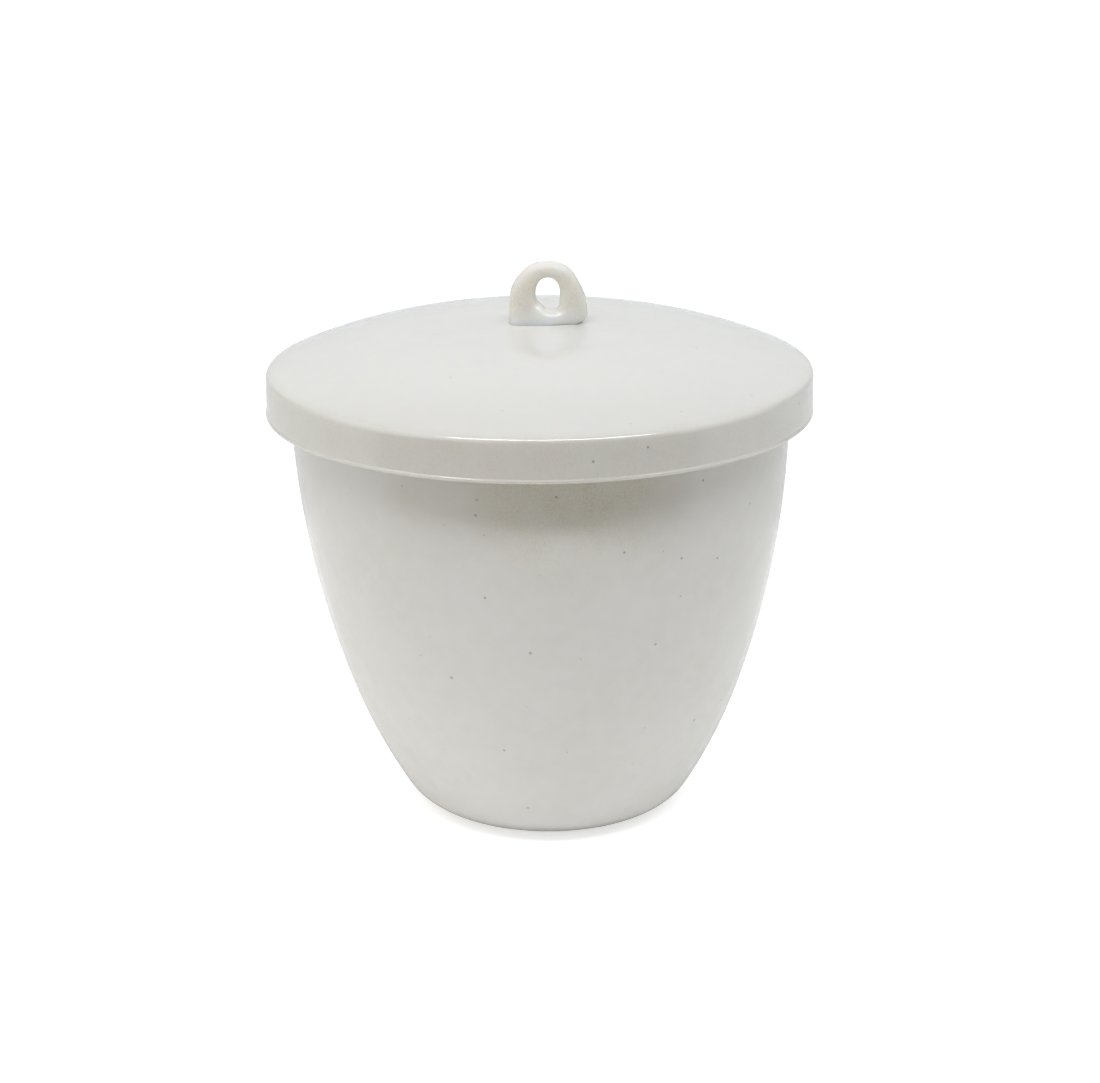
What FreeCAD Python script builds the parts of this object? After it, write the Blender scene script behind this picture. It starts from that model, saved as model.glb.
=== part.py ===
import FreeCAD, Part
import math
import os

# Porcelain crucible of 50 ml with its lid, in millimetres.
# +Z is up, and the origin is the centre of the flat base, on the surface that the crucible stands on.
# The cup and the lid are turned shapes about the Z axis. The lid's eye stands on the lid and faces along Y.

# Cup: overall sizes
CUP_HEIGHT = 44.5
RIM_RADIUS = 25.35
WALL = 1.9
FLOOR = 2.2

# Cup: the outer face, from the rim down. It leaves the rim upright and curves in towards the base.
UPPER_WALL_RADIUS = 92.0
UPPER_WALL_TURN = 19.65
LOWER_WALL_RADIUS = 55.2
LOWER_WALL_TURN = 11.8
LIP_ROUND = 0.6

# Lid: overall sizes
LID_RADIUS = 27.75
LID_BOTTOM = 41.95
LID_TOP = 50.8
LID_PLATE = 2.2
RIM_CLEARANCE = 0.5

# Lid: the dome has a nearly flat middle and a rounder outer zone. The corner below it leads into the skirt.
DOME_MIDDLE_RADIUS = 178.0
DOME_MIDDLE_TURN = 3.35
DOME_OUTER_RADIUS = 48.2
LID_CORNER_ROUND = 0.7
SKIRT_OUTER_ROUND = 0.45
SKIRT_INNER_ROUND = 0.4

# Lid: the flat seat under it, which rests on the rim
SEAT_INNER_RADIUS = 23.9
SEAT_EDGE_ROUND = 0.3
HOLLOW_CORNER_ROUND = 0.5

# Eye on the lid: a ring of clay with two short legs, stuck on a little off the centre
EYE_OFFSET_X = 0.9
EYE_WIDTH = 7.9
EYE_HEIGHT = 6.2
EYE_DEPTH = 2.4
EYE_HOLE_WIDTH = 2.5
EYE_HOLE_LOW = 1.4
EYE_HOLE_HIGH = 4.55
EYE_HOLE_OFFSET_X = -0.1
EYE_OUTER_ROUND = 1.0
EYE_HOLE_ROUND = 0.6
EYE_SINK = 1.0

UP, DOWN, OUTWARD = 90.0, -90.0, 0.0
QUARTER_TURN = 90.0


def polar(length, angle):
    """Vector in the XZ plane, with its angle in degrees from +X towards +Z."""
    return FreeCAD.Vector(length * math.cos(math.radians(angle)), 0, length * math.sin(math.radians(angle)))


class Outline:
    """Half of a turned piece's section, walked step by step in the XZ plane. X is the radius."""

    def __init__(self, radius, height, heading):
        self.place = FreeCAD.Vector(radius, 0, height)
        self.heading = heading
        self.edges = []

    def line(self, length):
        """Straight stretch along the heading."""
        end = self.place + polar(length, self.heading)
        self.edges.append(Part.makeLine(self.place, end))
        self.place = end

    def bend(self, radius, turn):
        """Round stretch, tangent to the last one. A positive turn is to the left."""
        side = math.copysign(QUARTER_TURN, turn)
        centre = self.place + polar(radius, self.heading + side)
        middle = centre + polar(radius, self.heading - side + turn / 2)
        end = centre + polar(radius, self.heading - side + turn)
        self.edges.append(Part.Arc(self.place, middle, end).toShape())
        self.place = end
        self.heading += turn

    def to_axis(self):
        """Straight stretch back to the axis at the present height."""
        end = FreeCAD.Vector(0, 0, self.place.z)
        self.edges.append(Part.makeLine(self.place, end))
        self.place = end


def turned(edges, low, high):
    """Solid turned about Z from outline edges that meet the axis at two heights."""
    axis = Part.makeLine(FreeCAD.Vector(0, 0, low), FreeCAD.Vector(0, 0, high))
    wire = Part.Wire(Part.__sortEdges__(edges + [axis]))
    solid = Part.Face(wire).revolve(FreeCAD.Vector(0, 0, 0), FreeCAD.Vector(0, 0, 1), 360)
    return Part.Solid(solid.Shells[0])


def walk_wall(outline, inset, floor_height):
    """Follow the wall down from the lip, round the foot corner and in to the axis."""
    outline.bend(UPPER_WALL_RADIUS - inset, -UPPER_WALL_TURN)
    outline.bend(LOWER_WALL_RADIUS - inset, -LOWER_WALL_TURN)
    turn_left_over = QUARTER_TURN - UPPER_WALL_TURN - LOWER_WALL_TURN
    drop = outline.place.z - floor_height
    corner_radius = drop / (1 - math.cos(math.radians(turn_left_over)))
    outline.bend(corner_radius, -turn_left_over)
    outline.to_axis()


def make_crucible():
    """Cup: one shell with a flat base and a flat lip between two rounded edges."""
    outer = Outline(RIM_RADIUS, CUP_HEIGHT - LIP_ROUND, DOWN)
    walk_wall(outer, 0, 0)
    inner = Outline(RIM_RADIUS, CUP_HEIGHT - LIP_ROUND, UP)
    inner.bend(LIP_ROUND, QUARTER_TURN)
    inner.line(WALL - 2 * LIP_ROUND)
    inner.bend(LIP_ROUND, QUARTER_TURN)
    walk_wall(inner, WALL, FLOOR)
    return turned(outer.edges + inner.edges, 0, FLOOR)


def slope_at(radius, inset):
    """Slope of the dome's outer zone in degrees, at a radius on the face that lies inset below the top."""
    centre_radius = (DOME_MIDDLE_RADIUS - DOME_OUTER_RADIUS) * math.sin(math.radians(DOME_MIDDLE_TURN))
    return math.degrees(math.asin((radius - centre_radius) / (DOME_OUTER_RADIUS - inset)))


def make_lid():
    """Lid: a domed plate, a flat seat for the rim and a skirt outside it."""
    path = Outline(0, LID_TOP - LID_PLATE, OUTWARD)

    # the hollow side: under the dome, down to the seat, out to the skirt and down it
    slope = slope_at(SEAT_INNER_RADIUS - HOLLOW_CORNER_ROUND, LID_PLATE + HOLLOW_CORNER_ROUND)
    path.bend(DOME_MIDDLE_RADIUS - LID_PLATE, -DOME_MIDDLE_TURN)
    path.bend(DOME_OUTER_RADIUS - LID_PLATE, DOME_MIDDLE_TURN - slope)
    path.bend(HOLLOW_CORNER_ROUND, slope - QUARTER_TURN)
    path.line(path.place.z - CUP_HEIGHT - SEAT_EDGE_ROUND)
    path.bend(SEAT_EDGE_ROUND, QUARTER_TURN)
    skirt_inner_radius = RIM_RADIUS + RIM_CLEARANCE
    path.line(skirt_inner_radius - SKIRT_INNER_ROUND - path.place.x)
    path.bend(SKIRT_INNER_ROUND, -QUARTER_TURN)
    path.line(path.place.z - LID_BOTTOM - SKIRT_INNER_ROUND)

    # the skirt's lower edge
    path.bend(SKIRT_INNER_ROUND, QUARTER_TURN)
    path.line(LID_RADIUS - SKIRT_OUTER_ROUND - path.place.x)
    path.bend(SKIRT_OUTER_ROUND, QUARTER_TURN)

    # the outer side, walked from the axis out to the top of the skirt
    top = Outline(0, LID_TOP, OUTWARD)
    slope = slope_at(LID_RADIUS - LID_CORNER_ROUND, LID_CORNER_ROUND)
    top.bend(DOME_MIDDLE_RADIUS, -DOME_MIDDLE_TURN)
    top.bend(DOME_OUTER_RADIUS, DOME_MIDDLE_TURN - slope)
    top.bend(LID_CORNER_ROUND, slope - QUARTER_TURN)
    path.line(top.place.z - path.place.z)
    return turned(path.edges + top.edges, LID_TOP - LID_PLATE, LID_TOP)


def pill_prism(centre_x, width, low, high, depth):
    """Prism along Y whose front face is a slot with round ends, standing upright."""
    radius = width / 2
    foot = FreeCAD.Vector(centre_x, -depth / 2, low + radius)
    head = FreeCAD.Vector(centre_x, -depth / 2, high - radius)
    side = FreeCAD.Vector(radius, 0, 0)
    rise = FreeCAD.Vector(0, 0, radius)
    wire = Part.Wire([
        Part.Arc(foot - side, foot - rise, foot + side).toShape(),
        Part.makeLine(foot + side, head + side),
        Part.Arc(head + side, head + rise, head - side).toShape(),
        Part.makeLine(head - side, foot - side),
    ])
    return Part.Face(wire).extrude(FreeCAD.Vector(0, depth, 0))


def arch_prism(centre_x, width, low, high, depth):
    """Prism along Y whose front face is an arch: a flat foot, two legs and a round top."""
    radius = width / 2
    head = FreeCAD.Vector(centre_x, -depth / 2, high - radius)
    foot = FreeCAD.Vector(centre_x, -depth / 2, low)
    side = FreeCAD.Vector(radius, 0, 0)
    rise = FreeCAD.Vector(0, 0, radius)
    wire = Part.Wire([
        Part.makeLine(foot - side, foot + side),
        Part.makeLine(foot + side, head + side),
        Part.Arc(head + side, head + rise, head - side).toShape(),
        Part.makeLine(head - side, foot - side),
    ])
    return Part.Face(wire).extrude(FreeCAD.Vector(0, depth, 0))


def on_a_face(edge, depth):
    """Whether an edge lies in the front or the back face of a prism of this depth."""
    return all(math.isclose(abs(corner.Y), depth / 2) for corner in edge.Vertexes)


def make_eye(lid):
    """Eye: an arch with a pill-shaped hole, rounded like a roll of clay and fitted to the top of the lid."""
    foot_height = LID_TOP - EYE_SINK
    body = arch_prism(EYE_OFFSET_X, EYE_WIDTH, foot_height, LID_TOP + EYE_HEIGHT, EYE_DEPTH)
    outer_edges = [
        edge for edge in body.Edges if on_a_face(edge, EYE_DEPTH) and edge.CenterOfMass.z > LID_TOP
    ]
    body = body.makeFillet(EYE_OUTER_ROUND, outer_edges)

    hole_x = EYE_OFFSET_X + EYE_HOLE_OFFSET_X
    hole_low = LID_TOP + EYE_HOLE_LOW
    hole_high = LID_TOP + EYE_HOLE_HIGH
    ring = body.cut(pill_prism(hole_x, EYE_HOLE_WIDTH, hole_low, hole_high, 2 * EYE_DEPTH))
    reach = EYE_HOLE_WIDTH / 2
    hole_box = FreeCAD.BoundBox(hole_x - reach, -EYE_DEPTH, hole_low, hole_x + reach, EYE_DEPTH, hole_high)
    hole_box.enlarge(EYE_HOLE_ROUND / 2)
    hole_edges = [
        edge for edge in ring.Edges
        if on_a_face(edge, EYE_DEPTH) and all(hole_box.isInside(corner.Point) for corner in edge.Vertexes)
    ]
    ring = ring.makeFillet(EYE_HOLE_ROUND, hole_edges)
    return ring.cut(lid).Solids[0]


os.makedirs("parts", exist_ok=True)
lid_solid = make_lid()
pieces = {
    "crucible": make_crucible(),
    "lid": lid_solid,
    "lid_loop": make_eye(lid_solid),
}
for node, solid in pieces.items():
    box = solid.optimalBoundingBox()
    print(
        f"{node}: valid {solid.isValid()}, volume {solid.Volume / 1000:.3f} cm3,"
        f" x {box.XMin:.2f} to {box.XMax:.2f}, y {box.YMin:.2f} to {box.YMax:.2f}, z {box.ZMin:.2f} to {box.ZMax:.2f}"
    )
    solid.exportStep(f"parts/{node}.step")
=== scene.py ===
import math

import bmesh
import bpy
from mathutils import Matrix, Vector, noise


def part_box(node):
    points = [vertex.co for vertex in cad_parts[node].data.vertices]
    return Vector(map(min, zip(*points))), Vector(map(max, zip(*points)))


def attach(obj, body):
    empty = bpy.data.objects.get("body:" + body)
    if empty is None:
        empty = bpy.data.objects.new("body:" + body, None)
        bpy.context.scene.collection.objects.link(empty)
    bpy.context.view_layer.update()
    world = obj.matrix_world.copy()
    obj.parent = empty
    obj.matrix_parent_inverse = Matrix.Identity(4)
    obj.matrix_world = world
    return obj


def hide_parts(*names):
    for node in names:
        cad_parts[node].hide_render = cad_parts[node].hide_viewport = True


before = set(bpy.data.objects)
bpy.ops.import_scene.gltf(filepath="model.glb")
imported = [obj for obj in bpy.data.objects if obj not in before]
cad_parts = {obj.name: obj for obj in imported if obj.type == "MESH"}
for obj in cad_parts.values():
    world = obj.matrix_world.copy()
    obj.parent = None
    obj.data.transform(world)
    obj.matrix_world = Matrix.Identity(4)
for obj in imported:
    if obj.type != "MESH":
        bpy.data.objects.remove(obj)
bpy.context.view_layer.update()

# Looks of the porcelain crucible: the cup, its lid and the lid's eye, as hand-finished glazed ware.
# Outlines are walked in millimetres and every mesh is made in metres, in the frame of the CAD model.

MM = 0.001


def size_in_mm(node):
    """Lowest and highest corner of a CAD node, in millimetres."""
    low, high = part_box(node)
    return low / MM, high / MM


cup_low, cup_high = size_in_mm("crucible")
lid_low, lid_high = size_in_mm("lid")
eye_low, eye_high = size_in_mm("lid_loop")

# Cup
RIM_RADIUS = (cup_high.x - cup_low.x) / 2
CUP_HEIGHT = cup_high.z
WALL = 1.9
FLOOR = 2.2
LIP_ROUND = 0.6
UPPER_WALL_RADIUS = 92.0
UPPER_WALL_TURN = 19.65
LOWER_WALL_RADIUS = 55.2
LOWER_WALL_TURN = 11.8
BASE_DISH = 0.2
BASE_DISH_RADIUS = 8.0
BASE_DISH_EDGE = 2.0
CUP_LEAN = 0.9
WALL_WAVE = 0.05
WALL_WAVE_LENGTH = 17.0

# Lid
LID_RADIUS = (lid_high.x - lid_low.x) / 2
LID_BOTTOM = lid_low.z
LID_TOP = lid_high.z
LID_PLATE = 2.2
RIM_CLEARANCE = 0.5
DOME_MIDDLE_RADIUS = 178.0
DOME_MIDDLE_TURN = 3.35
DOME_OUTER_RADIUS = 48.2
LID_CORNER_ROUND = 0.7
BEAD_ROUND = 0.22
BEAD_HOLLOW = 0.14
BEAD_LEAN = 42.0
SKIRT_INNER_ROUND = 0.4
SEAT_INNER_RADIUS = 23.9
SEAT_EDGE_ROUND = 0.3
HOLLOW_CORNER_ROUND = 0.5
TILT = math.radians(0.3)
TILT_FADE = 30.0
DOME_WAVE = 0.035

# Eye: heights are above the top of the lid, and sideways places are from the eye's middle
EYE_X = (eye_low.x + eye_high.x) / 2
EYE_HALF_WIDTH = (eye_high.x - eye_low.x) / 2
CROWN_MARGIN = 0.02  # keeps the crown below the top of the CAD model
EYE_HEIGHT = eye_high.z - LID_TOP - CROWN_MARGIN
EYE_HOLE_X = -0.08
EYE_HOLE_HALF_WIDTH = 1.2
EYE_HOLE_LOW = 1.3
EYE_HOLE_HIGH = 4.55
EYE_SINK = 0.45

# Mesh fineness
SEGMENTS = 288
LONG_STEP = 0.45
ROUND_STEP_ANGLE = 9.0

UP, DOWN, OUTWARD = 90.0, -90.0, 0.0
QUARTER_TURN = 90.0


class Outline:
    """Half section of a turned piece, walked step by step.

    A point is (radius, height, share of bare clay).
    """

    def __init__(self, radius, height, heading):
        self.radius = radius
        self.height = height
        self.heading = heading
        self.bare = 0.0
        self.points = [(radius, height, 0.0)]

    def _advance(self, length, angle):
        self.radius += length * math.cos(math.radians(angle))
        self.height += length * math.sin(math.radians(angle))
        self.points.append((self.radius, self.height, self.bare))

    def line(self, length):
        """Straight stretch along the heading."""
        steps = max(1, round(length / LONG_STEP))
        for _ in range(steps):
            self._advance(length / steps, self.heading)

    def bend(self, radius, turn):
        """Round stretch, tangent to the last one. A positive turn is to the left."""
        arc_length = radius * math.radians(abs(turn))
        steps = max(2, round(arc_length / LONG_STEP), round(abs(turn) / ROUND_STEP_ANGLE))
        chord = 2 * radius * math.sin(math.radians(abs(turn) / steps / 2))
        for _ in range(steps):
            self._advance(chord, self.heading + turn / steps / 2)
            self.heading += turn / steps

    def to_axis(self):
        """Straight stretch to the axis at the present height."""
        steps = max(1, round(self.radius / LONG_STEP))
        start = self.radius
        for step in range(1, steps + 1):
            self.radius = start * (1 - step / steps)
            self.points.append((self.radius, self.height, self.bare))


def walk_wall(outline, inset, floor_height):
    """Follow the cup's wall down from the lip, round the foot corner and in to the axis."""
    outline.bend(UPPER_WALL_RADIUS - inset, -UPPER_WALL_TURN)
    outline.bend(LOWER_WALL_RADIUS - inset, -LOWER_WALL_TURN)
    turn_left_over = QUARTER_TURN - UPPER_WALL_TURN - LOWER_WALL_TURN
    corner_radius = (outline.height - floor_height) / (1 - math.cos(math.radians(turn_left_over)))
    outline.bend(corner_radius, -turn_left_over)


def cup_outline():
    """The cup's whole section, from the middle of the base round the rim to the middle of the floor."""
    outer = Outline(RIM_RADIUS, CUP_HEIGHT - LIP_ROUND, DOWN)
    walk_wall(outer, 0, 0)
    outer.bare = 1.0
    outer.to_axis()
    inner = Outline(RIM_RADIUS, CUP_HEIGHT - LIP_ROUND, UP)
    inner.bend(LIP_ROUND, QUARTER_TURN)
    inner.bare = 1.0
    inner.line(WALL - 2 * LIP_ROUND)
    inner.bare = 0.0
    inner.bend(LIP_ROUND, QUARTER_TURN)
    walk_wall(inner, WALL, FLOOR)
    inner.to_axis()
    return outer.points[::-1] + inner.points[1:]


def slope_at(radius, inset):
    """Slope of the dome's outer zone in degrees, at a radius on the face that lies inset below the top."""
    centre_radius = (DOME_MIDDLE_RADIUS - DOME_OUTER_RADIUS) * math.sin(math.radians(DOME_MIDDLE_TURN))
    return math.degrees(math.asin((radius - centre_radius) / (DOME_OUTER_RADIUS - inset)))


def lid_outline():
    """The lid's whole section, from the middle of its hollow side round the skirt to the top of the dome."""
    under = Outline(0, LID_TOP - LID_PLATE, OUTWARD)
    slope = slope_at(SEAT_INNER_RADIUS - HOLLOW_CORNER_ROUND, LID_PLATE + HOLLOW_CORNER_ROUND)
    under.bend(DOME_MIDDLE_RADIUS - LID_PLATE, -DOME_MIDDLE_TURN)
    under.bend(DOME_OUTER_RADIUS - LID_PLATE, DOME_MIDDLE_TURN - slope)
    under.bend(HOLLOW_CORNER_ROUND, slope - QUARTER_TURN)
    under.line(under.height - CUP_HEIGHT - SEAT_EDGE_ROUND)
    under.bend(SEAT_EDGE_ROUND, QUARTER_TURN)
    under.bare = 1.0
    under.line(RIM_RADIUS + RIM_CLEARANCE - SKIRT_INNER_ROUND - under.radius)
    under.bare = 0.0
    under.bend(SKIRT_INNER_ROUND, -QUARTER_TURN)
    under.line(under.height - LID_BOTTOM - SKIRT_INNER_ROUND)
    under.bend(SKIRT_INNER_ROUND, QUARTER_TURN)
    under.line(LID_RADIUS - BEAD_ROUND - under.radius)
    under.bend(BEAD_ROUND, QUARTER_TURN + BEAD_LEAN)
    under.bend(BEAD_HOLLOW, -BEAD_LEAN)

    top = Outline(0, LID_TOP, OUTWARD)
    slope = slope_at(under.radius - LID_CORNER_ROUND, LID_CORNER_ROUND)
    top.bend(DOME_MIDDLE_RADIUS, -DOME_MIDDLE_TURN)
    top.bend(DOME_OUTER_RADIUS, DOME_MIDDLE_TURN - slope)
    top.bend(LID_CORNER_ROUND, slope - QUARTER_TURN)
    under.line(top.height - under.height)
    return under.points[:-1] + top.points[::-1]


def mesh_object(name, vertices, faces, attributes):
    """Smooth closed mesh from vertices in millimetres, with one number per vertex for each attribute."""
    mesh = bpy.data.meshes.new(name)
    mesh.from_pydata([Vector(v) * MM for v in vertices], [], faces)
    for label, values in attributes.items():
        mesh.attributes.new(label, "FLOAT", "POINT").data.foreach_set("value", values)
    shape = bmesh.new()
    shape.from_mesh(mesh)
    bmesh.ops.recalc_face_normals(shape, faces=shape.faces)
    shape.to_mesh(mesh)
    shape.free()
    mesh.shade_smooth()
    piece = bpy.data.objects.new(name, mesh)
    bpy.context.scene.collection.objects.link(piece)
    return piece


def turned(name, outline, finish_point):
    """Solid of revolution from an outline that starts and ends on the axis."""
    vertices = [finish_point(0.0, 0.0, outline[0][1])]
    bare = [outline[0][2]]
    for radius, height, share in outline[1:-1]:
        for k in range(SEGMENTS):
            vertices.append(finish_point(radius, 2 * math.pi * k / SEGMENTS, height))
            bare.append(share)
    vertices.append(finish_point(0.0, 0.0, outline[-1][1]))
    bare.append(outline[-1][2])

    def ring(index, k):
        return 1 + index * SEGMENTS + k % SEGMENTS

    rings = len(outline) - 2
    last = len(vertices) - 1
    faces = []
    for k in range(SEGMENTS):
        faces.append((0, ring(0, k), ring(0, k + 1)))
        faces.append((last, ring(rings - 1, k + 1), ring(rings - 1, k)))
        for index in range(rings - 1):
            faces.append((ring(index, k), ring(index + 1, k), ring(index + 1, k + 1), ring(index, k + 1)))
    return mesh_object(name, vertices, faces, {"bare": bare})


def smooth_step(low, high, value):
    """Share from 0 to 1 as a value goes from low to high, level at both ends."""
    share = min(1.0, max(0.0, (value - low) / (high - low)))
    return share * share * (3 - 2 * share)


def tilted(height, x):
    """Height on the slightly tilted rim plane, which the lid and the top of the cup share."""
    return height + smooth_step(TILT_FADE, CUP_HEIGHT, height) * x * math.tan(TILT)


def wave(radius, angle, height, length):
    """Gentle unevenness of hand-finished clay, from -1 to 1."""
    place = Vector((radius * math.cos(angle), radius * math.sin(angle), height))
    return noise.noise(place / length)


def cup_point(radius, angle, height):
    """A point of the cup: the turned shape, made a little uneven, leaning and with a shallow dish below."""
    if FLOOR < height < CUP_HEIGHT - LIP_ROUND:
        radius -= WALL_WAVE * (1 + wave(radius, angle, height, WALL_WAVE_LENGTH)) / 2
    x, y = radius * math.cos(angle), radius * math.sin(angle)
    if height < BASE_DISH:
        flat_share = smooth_step(BASE_DISH_RADIUS - BASE_DISH_EDGE, BASE_DISH_RADIUS, radius)
        height += BASE_DISH * (1 - flat_share)
    return (x + CUP_LEAN * (1 - height / CUP_HEIGHT), y, tilted(height, x))


def lid_point(radius, angle, height):
    """A point of the lid: the turned shape, with a soft unevenness of the dome and the skirt."""
    x, y = radius * math.cos(angle), radius * math.sin(angle)
    unevenness = DOME_WAVE * (1 + wave(radius, angle, height, WALL_WAVE_LENGTH)) / 2
    if height > CUP_HEIGHT + SEAT_EDGE_ROUND:
        height -= unevenness
    elif radius > RIM_RADIUS + RIM_CLEARANCE + SKIRT_INNER_ROUND:
        height += unevenness
    return (x, y, tilted(height, x))


# ---- eye ----

EYE_RING_STEPS = 144
EYE_SECTION_STEPS = 56
HOLE_MIDDLE = (EYE_HOLE_LOW + EYE_HOLE_HIGH) / 2
HOLE_HALF_HEIGHT = (EYE_HOLE_HIGH - EYE_HOLE_LOW) / 2

# Seen from the front. Directions are in degrees about the middle of the hole, from +X towards +Z.
FULL_CIRCLE = 360.0
HOLE_SQUARENESS = 2.2
FOOT_SQUARENESS = 12
LOWER_RIGHT, LOWER_RIGHT_SPREAD, LOWER_RIGHT_GAIN = -54.0, 18.0, 0.22
LOWER_LEFT, LOWER_LEFT_SPREAD, LOWER_LEFT_LOSS = 240.0, 25.0, 0.16
LEFT_SHOULDER, LEFT_SHOULDER_SPREAD, LEFT_SHOULDER_GAIN = 120.0, 17.0, 0.03
RIGHT_SHOULDER_HEIGHT, RIGHT_SHOULDER_SPREAD, RIGHT_SHOULDER_LOSS = 4.5, 1.9, 0.52

# The roll of clay, across: half its depth at the crown, what is added towards the foot, and how square it is
CROWN_HALF_DEPTH = 1.1
DEPTH_GAIN = 0.15
SECTION_FULLNESS = 0.85

# The foot: how high it reaches, between which places its sides, its ends and its tucked half begin,
# and how far each part moves
FOOT_HEIGHT = 1.1
FOOT_SIDES = (0.1, 0.9)
FOOT_ENDS = (2.2, 3.6)
TUCKED_HALF = (-0.6, 2.2)
LEFT_FOOT_DEEPER = 0.5
LEFT_FOOT_LONGER = 0.12
RIGHT_FOOT_SHORTER = 0.6
FOOT_STEEPNESS = 3

NEARLY_ZERO = 1e-9
FAR = 1e9


def bell(value, middle, spread):
    """Smooth bump of height 1 about a middle value."""
    return math.exp(-((value - middle) / spread) ** 2)


def eye_outer_radius(direction):
    """Distance from the middle of the hole to the outside of the eye, in a direction in its own plane."""
    crown_z = EYE_HEIGHT - EYE_HALF_WIDTH
    dx, dz = math.cos(direction), math.sin(direction)
    # round head: where the ray leaves the circle about the crown's centre
    ox, oz = EYE_HOLE_X, HOLE_MIDDLE - crown_z
    along = ox * dx + oz * dz
    reach = -along + math.sqrt(along * along - ox * ox - oz * oz + EYE_HALF_WIDTH ** 2)
    if oz + reach * dz >= 0:
        return reach
    # legs and foot
    side, foot = FAR, FAR
    if abs(dx) > NEARLY_ZERO:
        side = (EYE_HALF_WIDTH * math.copysign(1, dx) - EYE_HOLE_X) / dx
    if dz < -NEARLY_ZERO:
        foot = (HOLE_MIDDLE + EYE_SINK) / -dz
    return (side ** -FOOT_SQUARENESS + foot ** -FOOT_SQUARENESS) ** (-1 / FOOT_SQUARENESS)


def eye_hole_radius(direction):
    """Distance from the middle of the hole to its wall. The hole is fuller at its lower right."""
    dx, dz = math.cos(direction), math.sin(direction)
    across = abs(dx / EYE_HOLE_HALF_WIDTH) ** HOLE_SQUARENESS
    upright = abs(dz / HOLE_HALF_HEIGHT) ** HOLE_SQUARENESS
    oval = (across + upright) ** (-1 / HOLE_SQUARENESS)
    degrees = math.degrees(direction)
    lower_right = bell(degrees, LOWER_RIGHT, LOWER_RIGHT_SPREAD)
    # directions run once round from straight down, so this corner reaches over both ends of their range
    lower_left_start = bell(degrees, LOWER_LEFT - FULL_CIRCLE, LOWER_LEFT_SPREAD)
    lower_left_end = bell(degrees, LOWER_LEFT, LOWER_LEFT_SPREAD)
    lower_left = lower_left_start + lower_left_end
    return oval * (1 + LOWER_RIGHT_GAIN * lower_right - LOWER_LEFT_LOSS * lower_left)


def eye_point(step, section_step):
    """A point of the eye: a roll of clay bent into a ring, with its foot set a little into the lid."""
    direction = 2 * math.pi * step / EYE_RING_STEPS - math.pi / 2
    around = 2 * math.pi * section_step / EYE_SECTION_STEPS
    dx, dz = math.cos(direction), math.sin(direction)
    inner = eye_hole_radius(direction)
    left_shoulder = bell(math.degrees(direction), LEFT_SHOULDER, LEFT_SHOULDER_SPREAD)
    outer = eye_outer_radius(direction) * (1 + LEFT_SHOULDER_GAIN * left_shoulder)
    half_depth = CROWN_HALF_DEPTH + DEPTH_GAIN * (1 - dz)
    cos_a, sin_a = math.cos(around), math.sin(around)
    inwards = math.copysign(abs(cos_a) ** SECTION_FULLNESS, cos_a)
    radial = (inner + outer) / 2 - (outer - inner) / 2 * inwards
    y = half_depth * math.copysign(abs(sin_a) ** SECTION_FULLNESS, sin_a)
    x = EYE_HOLE_X + radial * dx
    z = HOLE_MIDDLE + radial * dz
    # the right shoulder is slimmer than the left
    if x > EYE_HOLE_HALF_WIDTH:
        outwards = (x - EYE_HOLE_HALF_WIDTH) / (EYE_HALF_WIDTH - EYE_HOLE_HALF_WIDTH)
        x -= RIGHT_SHOULDER_LOSS * outwards * bell(z, RIGHT_SHOULDER_HEIGHT, RIGHT_SHOULDER_SPREAD)
    # the left foot is smoothed out over the lid, and the right foot is tucked under
    low = max(0.0, 1 - max(z, 0.0) / FOOT_HEIGHT) ** FOOT_STEEPNESS
    tucked = smooth_step(*TUCKED_HALF, x)
    sides = smooth_step(*FOOT_SIDES, abs(y))
    ends = smooth_step(*FOOT_ENDS, abs(x))
    y += math.copysign(1, y) * sides * low * LEFT_FOOT_DEEPER * (1 - tucked)
    x += math.copysign(1, x) * ends * low * (LEFT_FOOT_LONGER * (1 - tucked) - RIGHT_FOOT_SHORTER * tucked)
    z = min(z, EYE_HEIGHT)
    return (EYE_X + x, y, tilted(LID_TOP + z, EYE_X + x))


def make_eye():
    """The eye as one closed ring of quads."""
    vertices = [
        eye_point(step, section)
        for step in range(EYE_RING_STEPS)
        for section in range(EYE_SECTION_STEPS)
    ]

    def corner(step, section):
        return (step % EYE_RING_STEPS) * EYE_SECTION_STEPS + section % EYE_SECTION_STEPS

    faces = [
        (corner(i, j), corner(i + 1, j), corner(i + 1, j + 1), corner(i, j + 1))
        for i in range(EYE_RING_STEPS)
        for j in range(EYE_SECTION_STEPS)
    ]
    return mesh_object("lid_eye", vertices, faces, {"bare": [0.0] * len(vertices)})


# ---- materials ----

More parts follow.
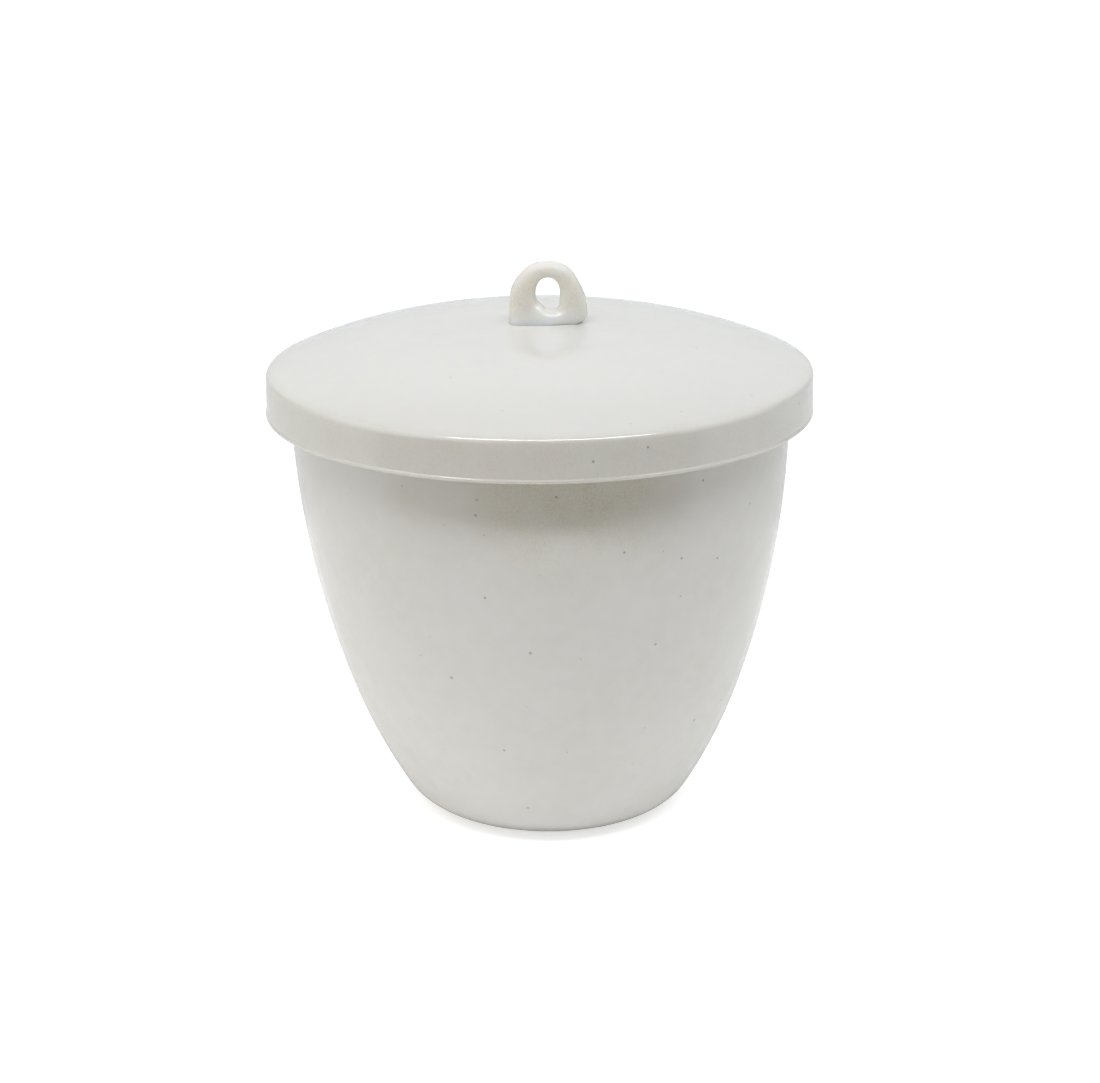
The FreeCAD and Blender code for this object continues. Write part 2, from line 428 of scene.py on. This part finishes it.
class Nodes:
    """Short ways to add and join shader nodes in one node tree."""

    def __init__(self, tree):
        self.tree = tree
        self.tree.nodes.clear()

    def add(self, kind, settings=None, **values):
        """New node, with settings for its properties and a number, a colour or a socket for its inputs."""
        node = self.tree.nodes.new(kind)
        for name, value in (settings or {}).items():
            setattr(node, name, value)
        for name, value in values.items():
            self.put(node.inputs[name.replace("_", " ")], value)
        return node

    def put(self, target, value):
        """Link a socket to an input, or set a plain value on it."""
        if isinstance(value, bpy.types.NodeSocket):
            self.tree.links.new(value, target)
        else:
            target.default_value = value

    def math(self, operation, *values):
        """Result of one operation on numbers."""
        node = self.tree.nodes.new("ShaderNodeMath")
        node.operation = operation
        for target, value in zip(node.inputs, values):
            self.put(target, value)
        return node.outputs[0]

    def vector(self, operation, *values):
        """Result of one operation on vectors: a number for some operations, a vector for the rest."""
        node = self.tree.nodes.new("ShaderNodeVectorMath")
        node.operation = operation
        for target, value in zip(node.inputs, values):
            self.put(target, value)
        gives_number = operation in ("DOT_PRODUCT", "LENGTH", "DISTANCE")
        return node.outputs["Value" if gives_number else "Vector"]

    def fade(self, value, start, end, low=0.0, high=1.0):
        """Smooth change from low to high while a value goes from start to end."""
        node = self.add("ShaderNodeMapRange", {"interpolation_type": "SMOOTHSTEP"})
        for target, number in zip(node.inputs, (value, start, end, low, high)):
            self.put(target, number)
        return node.outputs[0]

    def mix(self, share, first, second):
        """Colour between two colours."""
        node = self.add("ShaderNodeMix", {"data_type": "RGBA"})
        self.put(node.inputs[0], share)
        self.put(node.inputs[6], first)
        self.put(node.inputs[7], second)
        return node.outputs[2]

    def noise(self, place, scale, detail=2.0):
        """Cloudy random pattern, about 0.5 on average."""
        node = self.add("ShaderNodeTexNoise", Vector=place, Scale=scale, Detail=detail)
        return node.outputs[0]


def per_mm(length):
    """Texture scale, in metres, of a pattern that repeats about every length in millimetres."""
    return 1 / (length * MM)


# Colours
PORCELAIN = (0.795, 0.777, 0.738, 1)
PORCELAIN_DEEP = (0.76, 0.738, 0.685, 1)
PORCELAIN_PALE = (0.82, 0.807, 0.78, 1)
BARE_CLAY = (0.76, 0.75, 0.72, 1)
IRON_SPECK = (0.28, 0.24, 0.18, 1)
# Painted shade: the colour laid on below the skirt, on the skirt's outside and about the eye's hole
PAINTED_SHADE_COLOUR = (0.64, 0.605, 0.465, 1)
# The eye's porcelain is paler than the cup's and lid's: painted light, brightening the eye
EYE_LIT_PORCELAIN = (0.9, 0.885, 0.85, 1)

# Patterns in the glaze. Sizes are in millimetres, and a range is the part of the noise that makes the change.
CLOUD_SIZE, CLOUD_RANGE, CLOUD_STRENGTH = 9.0, (0.3, 0.7), 0.9
MOTTLE_SIZE, MOTTLE_RANGE, MOTTLE_STRENGTH = 1.6, (0.35, 0.65), 0.8
GLOSS_SIZE, GLOSS_RANGE, GLAZE_ROUGHNESS = 4.0, (0.3, 0.7), (0.07, 0.12)
GRAINED_SHADE_ROUGHNESS = 0.08
BARE_ROUGHNESS = 0.8
COAT_ROUGHNESS = 0.04
GLAZE_IOR = 1.6

# Relief: orange peel over everything, and pores that are faint in the glaze and strong on bare clay
PEEL_SIZE, PEEL_STRENGTH = 1.5, 0.5
PORE_SIZE, PORE_STRENGTHS = 0.22, (0.05, 0.6)
RELIEF_DEPTH = 0.02

# Light inside the body: how far it reaches in millimetres, and the shares of that for red, green and blue
LIGHT_REACH = 1.8
LIGHT_REACH_SHARES = (1.0, 0.8, 0.6)

# Painted shade, given a dirt-like grain: fine grain and larger blotches, as a size, a range and the levels
# between which it changes the painted shade
GRAIN_SIZE, GRAIN_RANGE, GRAIN_LEVELS = 0.2, (0.36, 0.68), (0.5, 1.35)
BLOTCH_SIZE, BLOTCH_RANGE, BLOTCH_LEVELS = 2.6, (0.35, 0.7), (0.7, 1.15)

# Painted shade under the skirt, laid on as a ragged stain: its middle and reach in degrees, where it starts
# and is full, and its ragged edge
UNDER_SKIRT_SHADE_AZIMUTH = 7.0
UNDER_SKIRT_SHADE_REACH = 26.0
UNDER_SKIRT_SHADE_HEIGHTS = (31.0, 47.0)
UNDER_SKIRT_SHADE_EDGE_SIZE = 6.0
UNDER_SKIRT_SHADE_DRIFT = 8.0
UNDER_SKIRT_SHADE_STRENGTH = 0.58

# Painted shade on the skirt, with a dirt-like grain: in from the lid's edge, and down from the lid's top
SKIRT_SHADE_INSET = (1.2, 0.3)
SKIRT_SHADE_DEPTH = (2.2, 3.2)
SKIRT_SHADE_STRENGTH = 0.22

# Painted shade on the eye: heights above the lid's top, and the levels at them
EYE_CROWN_SHADE_HEIGHTS, EYE_CROWN_LEVELS = (5.6, 3.6), (0.14, 0.3)
EYE_FOOT_SHADE_HEIGHTS, EYE_FOOT_LEVELS = (0.6, 2.4), (0.3, 1.0)

# Random iron specks, as (spacing, radius, share of the cells with one, shift of the pattern), in millimetres
LARGE_SPECKS = (2.4, 0.22, 0.26, (1.3, 2.1, 0.8))
SMALL_SPECKS = (1.3, 0.12, 0.15, (0.0, 0.7, 3.1))
LARGE_SPECK_STRENGTH = 0.75
SMALL_SPECK_STRENGTH = 0.45
SPECK_CORE = 0.45

# The largest iron specks on the front, as (degrees from the front towards +X, height in mm)
PLACED_RADIUS = 0.18
PLACED_CORE = 0.3
PLACED_STRENGTH = 0.7
CUP_SPECKS = ((3.5, 40), (18.5, 34), (33, 32.5), (44, 31.5), (-13, 29.5), (-14, 38), (38, 40))
LID_SPECKS = ((10.5, 44), (21.5, 45), (34, 46.8))


def iron_specks(nodes, place, spacing, radius, share, shift):
    """Round dark specks on a random share of the cells of a cell pattern."""
    moved = nodes.vector("ADD", place, tuple(part * MM for part in shift))
    cells = nodes.add("ShaderNodeTexVoronoi", {"feature": "F1"}, Vector=moved, Scale=per_mm(spacing))
    cells.inputs["Randomness"].default_value = 1.0
    lottery = nodes.add("ShaderNodeSeparateColor", Color=cells.outputs["Color"])
    chosen = nodes.math("LESS_THAN", lottery.outputs[0], share)
    edge = radius / spacing
    spot = nodes.fade(cells.outputs["Distance"], edge * SPECK_CORE, edge, 1.0, 0.0)
    return nodes.math("MULTIPLY", spot, chosen)


def shade_below_skirt(nodes, place):
    """Share of painted shade on the cup, laid on like a stain: a ragged patch high on its front, below the
    lid's skirt.

    It goes by direction and height alone, so it tints the inside of the wall there as well.
    """
    height = nodes.add("ShaderNodeSeparateXYZ", Vector=place).outputs["Z"]
    level = nodes.vector("NORMALIZE", nodes.vector("MULTIPLY", place, (1, 1, 0)))
    turn = math.radians(UNDER_SKIRT_SHADE_AZIMUTH)
    nearness = nodes.vector("DOT_PRODUCT", level, (math.sin(turn), -math.cos(turn), 0))
    patch = nodes.fade(nearness, math.cos(math.radians(UNDER_SKIRT_SHADE_REACH)), 1.0, 0.0, UNDER_SKIRT_SHADE_STRENGTH)
    edge = nodes.noise(place, per_mm(UNDER_SKIRT_SHADE_EDGE_SIZE), detail=4.0)
    ragged = nodes.math("MULTIPLY_ADD", edge, UNDER_SKIRT_SHADE_DRIFT * MM, height)
    low, high = UNDER_SKIRT_SHADE_HEIGHTS
    return nodes.math("MULTIPLY", patch, nodes.fade(ragged, low * MM, high * MM))


def shade_on_skirt(nodes, place):
    """Share of painted shade on the lid, with a dirt-like grain: on the outside of its skirt, and on the edge
    below it.
    """
    height = nodes.add("ShaderNodeSeparateXYZ", Vector=place).outputs["Z"]
    level = nodes.vector("LENGTH", nodes.vector("MULTIPLY", place, (1, 1, 0)))
    inner, outer = (LID_RADIUS - inset for inset in SKIRT_SHADE_INSET)
    upper, lower = (LID_TOP - depth for depth in SKIRT_SHADE_DEPTH)
    outside = nodes.fade(level, inner * MM, outer * MM)
    below_corner = nodes.fade(height, upper * MM, lower * MM, 0.0, SKIRT_SHADE_STRENGTH)
    return nodes.math("MULTIPLY", outside, below_corner)


def shade_on_eye(nodes, place):
    """Share of painted shade on the eye: most about its hole, less on its crown, least at its foot."""
    height = nodes.add("ShaderNodeSeparateXYZ", Vector=place).outputs["Z"]
    crown_start, crown_end = (LID_TOP + rise for rise in EYE_CROWN_SHADE_HEIGHTS)
    foot_start, foot_end = (LID_TOP + rise for rise in EYE_FOOT_SHADE_HEIGHTS)
    below_crown = nodes.fade(height, crown_start * MM, crown_end * MM, *EYE_CROWN_LEVELS)
    above_foot = nodes.fade(height, foot_start * MM, foot_end * MM, *EYE_FOOT_LEVELS)
    return nodes.math("MULTIPLY", below_crown, above_foot)


def glaze_material(name, body, painted_shade_share, mottling, speck_strength, speck_places, translucency, coat):
    """Clear glaze over white porcelain: mottled, with painted shade, iron specks, and bare clay where the
    mesh says so.
    """
    material = bpy.data.materials.new(name)
    material.use_nodes = True
    nodes = Nodes(material.node_tree)
    place = nodes.add("ShaderNodeTexCoord").outputs["Object"]
    bare = nodes.add("ShaderNodeAttribute", {"attribute_name": "bare"}).outputs["Fac"]

    # colour: broad clouds and small mottling
    cloud_noise = nodes.noise(place, per_mm(CLOUD_SIZE))
    clouds = nodes.fade(cloud_noise, *CLOUD_RANGE, 0.0, CLOUD_STRENGTH * mottling)
    mottle_noise = nodes.noise(place, per_mm(MOTTLE_SIZE), detail=4.0)
    mottle = nodes.fade(mottle_noise, *MOTTLE_RANGE, 0.0, MOTTLE_STRENGTH * mottling)
    colour = nodes.mix(clouds, body, PORCELAIN_DEEP)
    colour = nodes.mix(mottle, colour, PORCELAIN_PALE)

    # painted shade, with its grain and blotches
    painted_shade = painted_shade_share(nodes, place)
    grain_noise = nodes.noise(place, per_mm(GRAIN_SIZE), detail=2.0)
    grain = nodes.fade(grain_noise, *GRAIN_RANGE, *GRAIN_LEVELS)
    blotch_noise = nodes.noise(place, per_mm(BLOTCH_SIZE), detail=3.0)
    blotches = nodes.fade(blotch_noise, *BLOTCH_RANGE, *BLOTCH_LEVELS)
    grained_shade = nodes.math("MULTIPLY", nodes.math("MULTIPLY", painted_shade, grain), blotches)
    colour = nodes.mix(nodes.math("MINIMUM", grained_shade, 1.0), colour, PAINTED_SHADE_COLOUR)

    # iron specks: random ones, which show most where the shade is painted, and the placed ones
    large = iron_specks(nodes, place, *LARGE_SPECKS)
    small = iron_specks(nodes, place, *SMALL_SPECKS)
    specks = nodes.math(
        "MAXIMUM",
        nodes.math("MULTIPLY", large, LARGE_SPECK_STRENGTH),
        nodes.math("MULTIPLY", small, SMALL_SPECK_STRENGTH),
    )
    shown = nodes.math("ADD", painted_shade, speck_strength)
    specks = nodes.math("MULTIPLY", specks, nodes.math("MINIMUM", shown, 1.0))
    for centre in speck_places:
        distance = nodes.vector("DISTANCE", place, centre * MM)
        core = PLACED_CORE * PLACED_RADIUS
        spot = nodes.fade(distance, core * MM, PLACED_RADIUS * MM, PLACED_STRENGTH, 0.0)
        specks = nodes.math("MAXIMUM", specks, spot)
    colour = nodes.mix(specks, colour, IRON_SPECK)
    colour = nodes.mix(bare, colour, BARE_CLAY)

    # roughness: slightly uneven over the glaze, higher where the shade is painted and on bare clay
    gloss_noise = nodes.noise(place, per_mm(GLOSS_SIZE), detail=3.0)
    glaze = nodes.fade(gloss_noise, *GLOSS_RANGE, *GLAZE_ROUGHNESS)
    glaze = nodes.math("MULTIPLY_ADD", grained_shade, GRAINED_SHADE_ROUGHNESS, glaze)
    roughness = nodes.math("MAXIMUM", glaze, nodes.math("MULTIPLY", bare, BARE_ROUGHNESS))

    # relief: orange peel of the glaze, and fine pores that show most on the bare clay
    peel = nodes.noise(place, per_mm(PEEL_SIZE), detail=1.0)
    pores = nodes.noise(place, per_mm(PORE_SIZE), detail=3.0)
    peel_bump = nodes.add(
        "ShaderNodeBump", Height=peel, Strength=PEEL_STRENGTH, Distance=RELIEF_DEPTH * MM,
    )
    pore_strength = nodes.fade(bare, 0.0, 1.0, *PORE_STRENGTHS)
    bump = nodes.add(
        "ShaderNodeBump", Height=pores, Strength=pore_strength, Distance=RELIEF_DEPTH * MM,
        Normal=peel_bump.outputs[0],
    )

    shader = nodes.add(
        "ShaderNodeBsdfPrincipled", Base_Color=colour, Roughness=roughness, IOR=GLAZE_IOR,
        Subsurface_Weight=translucency, Subsurface_Radius=LIGHT_REACH_SHARES,
        Subsurface_Scale=LIGHT_REACH * MM, Coat_Weight=coat, Coat_Roughness=COAT_ROUGHNESS,
        Normal=bump.outputs[0],
    )
    output = nodes.add("ShaderNodeOutputMaterial")
    nodes.put(output.inputs["Surface"], shader.outputs[0])
    return material


def on_surface(specks, outline, finish_point):
    """Places of specks on the outside of a turned piece, in millimetres."""
    places = []
    for azimuth, height in specks:
        radius = max(point[0] for point in outline if abs(point[1] - height) < LONG_STEP)
        places.append(Vector(finish_point(radius, math.radians(azimuth - QUARTER_TURN), height)))
    return places


cup_specks = on_surface(CUP_SPECKS, cup_outline(), cup_point)
lid_specks = on_surface(LID_SPECKS, lid_outline(), lid_point)
# Each glaze carries painted shade: on the cup below the skirt, on the lid's skirt, and on the eye about its
# hole
cup_glaze = glaze_material(
    "cup_glaze", PORCELAIN, shade_below_skirt,
    mottling=0.5, speck_strength=0.7, speck_places=cup_specks, translucency=0.2, coat=0.0,
)
lid_glaze = glaze_material(
    "lid_glaze", PORCELAIN, shade_on_skirt,
    mottling=0.2, speck_strength=0.25, speck_places=lid_specks, translucency=0.2, coat=0.45,
)
# The eye is given paler porcelain than the rest: painted light
eye_glaze = glaze_material(
    "eye_glaze", EYE_LIT_PORCELAIN, shade_on_eye,
    mottling=0.2, speck_strength=0.25, speck_places=(), translucency=0.9, coat=0.0,
)

cup = turned("cup", cup_outline(), cup_point)
lid = turned("lid_cover", lid_outline(), lid_point)
eye = make_eye()

for piece, body, node, slot, glaze in (
    (cup, "crucible", "crucible", "cup_glaze", cup_glaze),
    (lid, "lid", "lid", "lid_glaze", lid_glaze),
    (eye, "lid", "lid_loop", "lid_glaze", eye_glaze),
):
    piece.data.materials.append(glaze)
    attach(piece, body)
    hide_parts(node)


# ---- stage ----

WHITE = (1, 1, 1, 1)

# Floor, in metres. Distances are from the middle of the crucible's base.
FLOOR_RADIUS = 4.0
FLOOR_SEGMENTS = 96
PAPER = (0.76, 0.76, 0.76, 1)
PAPER_ROUGHNESS = 0.9
PAPER_REACH = (0.085, 0.105)

# The paper gives off a little light, less of it close about the foot
PAPER_GLOW = (0.24, 0.232, 0.215, 1)
FOOT_SHADE = (0.012, 0.03)
GLOW_AT_FOOT = 0.35

# The darker table is beyond the paper. It starts and is full at these cosines of the angle from the front.
DARK_TABLE = (0.21, 0.18, 0.155, 1)
DARK_FRONT = (0.35, 0.5)

# Light added to the floor for the camera alone
CAMERA_LIFT = 0.6


def show_to_camera(nodes, real, seen, output_kind):
    """Let the camera see one shader, while everything else is lit by and mirrors the other."""
    is_camera = nodes.add("ShaderNodeLightPath").outputs["Is Camera Ray"]
    choice = nodes.add("ShaderNodeMixShader")
    nodes.put(choice.inputs[0], is_camera)
    nodes.put(choice.inputs[1], real.outputs[0])
    nodes.put(choice.inputs[2], seen.outputs[0])
    output = nodes.add(output_kind)
    nodes.put(output.inputs["Surface"], choice.outputs[0])


def make_floor():
    """White paper, with a darker table in front of it. The camera itself sees plain paper everywhere."""
    mesh = bpy.data.meshes.new("floor")
    shape = bmesh.new()
    bmesh.ops.create_circle(shape, cap_ends=True, segments=FLOOR_SEGMENTS, radius=FLOOR_RADIUS)
    shape.to_mesh(mesh)
    shape.free()
    floor = bpy.data.objects.new("floor", mesh)
    bpy.context.scene.collection.objects.link(floor)
    material = bpy.data.materials.new("floor_paper")
    material.use_nodes = True
    nodes = Nodes(material.node_tree)
    place = nodes.add("ShaderNodeTexCoord").outputs["Object"]
    distance = nodes.vector("LENGTH", place)
    beyond_paper = nodes.fade(distance, *PAPER_REACH)
    depth = nodes.add("ShaderNodeSeparateXYZ", Vector=place).outputs["Y"]
    frontness = nodes.math("DIVIDE", nodes.math("MULTIPLY", depth, -1.0), distance)
    dark = nodes.math("MULTIPLY", beyond_paper, nodes.fade(frontness, *DARK_FRONT))
    glow = nodes.math(
        "MULTIPLY",
        nodes.fade(distance, *PAPER_REACH, 1.0, 0.0),
        nodes.fade(distance, *FOOT_SHADE, GLOW_AT_FOOT, 1.0),
    )
    real = nodes.add(
        "ShaderNodeBsdfPrincipled", Base_Color=nodes.mix(dark, PAPER, DARK_TABLE),
        Roughness=PAPER_ROUGHNESS, Emission_Color=PAPER_GLOW, Emission_Strength=glow,
    )
    seen = nodes.add(
        "ShaderNodeBsdfPrincipled", Base_Color=PAPER, Roughness=PAPER_ROUGHNESS,
        Emission_Color=WHITE, Emission_Strength=CAMERA_LIFT,
    )
    show_to_camera(nodes, real, seen, "ShaderNodeOutputMaterial")
    floor.data.materials.append(material)


# Studio dome. The camera's shade is negative: it takes light away above the camera and to its right.
STUDIO_LEVEL = 0.93
ROOM = (0.405, 0.42, 0.385)
SOFT_BOXES = {
    # name: (azimuth from the front towards +X, elevation, full out to, faded at, colour), angles in degrees
    "right": (90, 38, 15, 38, (0.44, 0.475, 0.505)),
    "left": (285, 35, 18, 42, (0.51, 0.485, 0.46)),
    "back": (180, 16, 18, 44, (0.38, 0.38, 0.42)),
    "front_left": (318, 6, 14, 36, (0.27, 0.26, 0.245)),
    "front_right": (45, 5, 12, 32, (0.20, 0.20, 0.195)),
    "camera_shade": (22, 30, 20, 45, (-0.62, -0.63, -0.66)),
}

# Strip light, in degrees: (azimuth, elevation), and each size as (full out to, faded at) from its middle
STRIP_PLACE = (4, 66)
STRIP_LENGTH = (22, 38)
STRIP_THICKNESS = (2.2, 4.5)
STRIP_COLOUR = (15.8, 16.1, 17.6)


def towards(azimuth, elevation):
    """Unit vector, with azimuth from the front (-Y) towards +X, both in degrees."""
    turn, rise = math.radians(azimuth), math.radians(elevation)
    return Vector((math.sin(turn) * math.cos(rise), -math.cos(turn) * math.cos(rise), math.sin(rise)))


def make_world():
    """Studio dome: room light, soft boxes, the camera's shade, and a strip light high in front.

    The camera sees plain white instead.
    """
    world = bpy.data.worlds.new("studio")
    world.use_nodes = True
    nodes = Nodes(world.node_tree)
    direction = nodes.add("ShaderNodeTexCoord").outputs["Generated"]

    def near(centre, full, faded):
        """Share from 1 to 0 as the angle from a direction goes from full to faded, in degrees."""
        nearness = nodes.vector("DOT_PRODUCT", direction, centre)
        return nodes.fade(nearness, math.cos(math.radians(faded)), math.cos(math.radians(full)))

    def add_light(total, share, colour):
        """Colour of the dome with a share of one more colour."""
        part = nodes.add("ShaderNodeVectorMath", {"operation": "SCALE"})
        nodes.put(part.inputs[0], colour)
        nodes.put(part.inputs["Scale"], share)
        return nodes.vector("ADD", part.outputs[0], total)

    light = ROOM
    for azimuth, elevation, full, faded, colour in SOFT_BOXES.values():
        light = add_light(light, near(towards(azimuth, elevation), full, faded), colour)
    light = nodes.vector("MAXIMUM", light, (0, 0, 0))

    middle = towards(*STRIP_PLACE)
    across = middle.cross(towards(STRIP_PLACE[0] + QUARTER_TURN, 0))
    off_line = nodes.math("ABSOLUTE", nodes.vector("DOT_PRODUCT", direction, across))
    thin, faded = (math.sin(math.radians(angle)) for angle in STRIP_THICKNESS)
    strip = nodes.math("MULTIPLY", nodes.fade(off_line, thin, faded, 1.0, 0.0), near(middle, *STRIP_LENGTH))
    light = add_light(light, strip, STRIP_COLOUR)

    real = nodes.add("ShaderNodeBackground", Color=light, Strength=STUDIO_LEVEL)
    seen = nodes.add("ShaderNodeBackground", Color=WHITE)
    show_to_camera(nodes, real, seen, "ShaderNodeOutputWorld")
    bpy.context.scene.world = world


# Camera, in metres, with its lens and sensor in millimetres
CAMERA_ELEVATION = math.radians(17.911)
CAMERA_DISTANCE = 0.2924
CAMERA_AIM_HEIGHT = 0.02751
CAMERA_SIDE = 0.00105
CAMERA_LENS = 92.65
CAMERA_SENSOR = 36.0
CAMERA_NEAREST = 0.01
CAMERA_FARTHEST = 20.0


def make_camera():
    """Camera in front of the crucible, looking a little down on it."""
    data = bpy.data.cameras.new("camera")
    data.lens = CAMERA_LENS
    data.sensor_width = CAMERA_SENSOR
    data.clip_start = CAMERA_NEAREST
    data.clip_end = CAMERA_FARTHEST
    camera = bpy.data.objects.new("camera", data)
    back = Vector((0, -math.cos(CAMERA_ELEVATION), math.sin(CAMERA_ELEVATION)))
    camera.location = Vector((CAMERA_SIDE, 0, CAMERA_AIM_HEIGHT)) + back * CAMERA_DISTANCE
    camera.rotation_euler = (-back).to_track_quat("-Z", "Y").to_euler()
    bpy.context.scene.collection.objects.link(camera)
    bpy.context.scene.camera = camera


make_floor()
make_world()
make_camera()
bpy.context.scene.view_settings.view_transform = "Standard"
